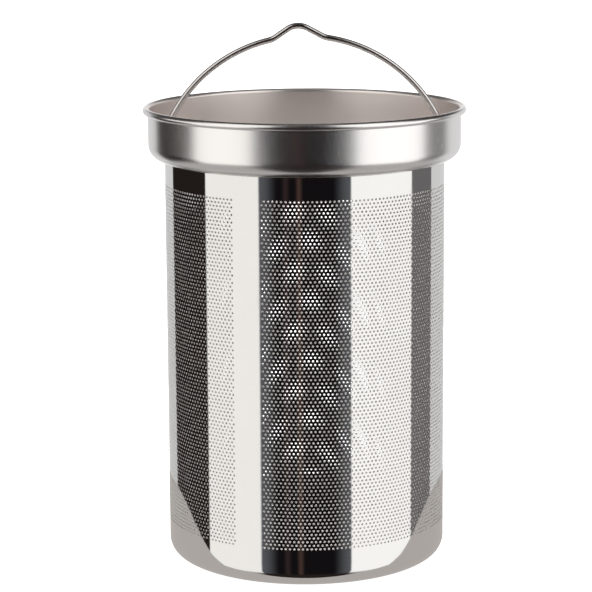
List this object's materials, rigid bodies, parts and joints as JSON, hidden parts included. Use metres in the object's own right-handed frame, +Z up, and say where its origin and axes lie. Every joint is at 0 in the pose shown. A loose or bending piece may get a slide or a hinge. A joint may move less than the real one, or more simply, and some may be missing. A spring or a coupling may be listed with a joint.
{
  "type": "basket strainer",
  "caption": "Deep perforated stainless basket strainer with a stepped, rolled-rim collar and a folding wire bail with a hanging peak.",
  "frame": {"origin": "middle of the base, level with the ring it stands on", "axes": "+Z up the axis of the tube, +X along the bail's pivot line, the bail standing in the XZ plane, +Y to the back"},
  "size_m": [0.0804, 0.0804, 0.1345],
  "materials": {
    "polished_tube": "mirror-polished stainless sheet",
    "polished_base": "mirror-polished stainless sheet",
    "satin_collar": "fine satin stainless",
    "lug_steel": "pressed stainless strip",
    "bail_wire": "bright drawn stainless wire"
  },
  "bodies": {
    "basket": {"tube": "polished_tube", "base": "polished_base", "collar": "satin_collar", "bail_lug_left": "lug_steel", "bail_lug_right": "lug_steel"},
    "bail": {"bail": "bail_wire"}
  },
  "joints": [
    {"name": "bail_swing", "type": "hinge", "parent": "basket", "child": "bail", "pos_m": [0, 0, 0.105], "axis": [1, 0, 0], "range_deg": [-90, 90]}
  ]
}
